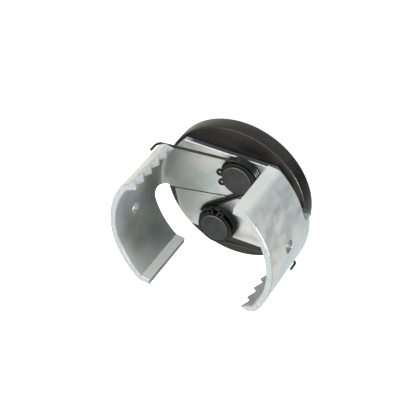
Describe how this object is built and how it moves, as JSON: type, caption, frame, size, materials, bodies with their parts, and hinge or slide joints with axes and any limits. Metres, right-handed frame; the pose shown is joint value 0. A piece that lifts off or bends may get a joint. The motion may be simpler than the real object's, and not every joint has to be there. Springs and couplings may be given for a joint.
{
  "type": "oil filter wrench",
  "caption": "Square-drive wrench head: sprung toothed jaws swing on a round plate to grip a round filter canister.",
  "frame": {"origin": "centre of the square drive's mouth, on the hub's rear face", "axes": "+Z along the drive axis towards the jaws; +X along the straight edges where the two arms meet, away from the jaw of side a"},
  "size_m": [0.0802, 0.071, 0.0601],
  "materials": {
    "black_oxide_plate": "satin black-oxide steel",
    "black_oxide_hub": "satin black-oxide steel",
    "zinc_plated_sheet": "dull zinc-plated steel sheet with a faint blue-green cast",
    "dark_pin_steel": "matte dark grey oxide with a turned face",
    "black_spring_wire": "glossy black oiled spring wire",
    "black_circlip_steel": "glossy black phosphated spring steel"
  },
  "bodies": {
    "body": {"body_disc": "black_oxide_plate", "drive_hub": "black_oxide_hub", "pivot_pin_a": "dark_pin_steel", "pivot_pin_b": "dark_pin_steel", "circlip_a": "black_circlip_steel", "circlip_b": "black_circlip_steel", "torsion_spring_a": "black_spring_wire", "torsion_spring_b": "black_spring_wire"},
    "arm_a": {"jaw_arm_a": "zinc_plated_sheet"},
    "arm_b": {"jaw_arm_b": "zinc_plated_sheet"}
  },
  "joints": [
    {"name": "jaw_a_swing", "type": "hinge", "parent": "body", "child": "arm_a", "pos_m": [0.00824, 0.01473, 0.0171], "axis": [0, 0, -1], "range_deg": [0, 55], "stiffness_Nm_per_rad": 0.18, "springref_deg": -28.65, "deforming": ["torsion_spring_a"]},
    {"name": "jaw_b_swing", "type": "hinge", "parent": "body", "child": "arm_b", "pos_m": [-0.00824, -0.01473, 0.0171], "axis": [0, 0, -1], "range_deg": [0, 55], "stiffness_Nm_per_rad": 0.18, "springref_deg": -28.65, "deforming": ["torsion_spring_b"]}
  ],
  "couplings": [
    {"joint": "jaw_b_swing", "follows": "jaw_a_swing", "ratio": 1}
  ]
}
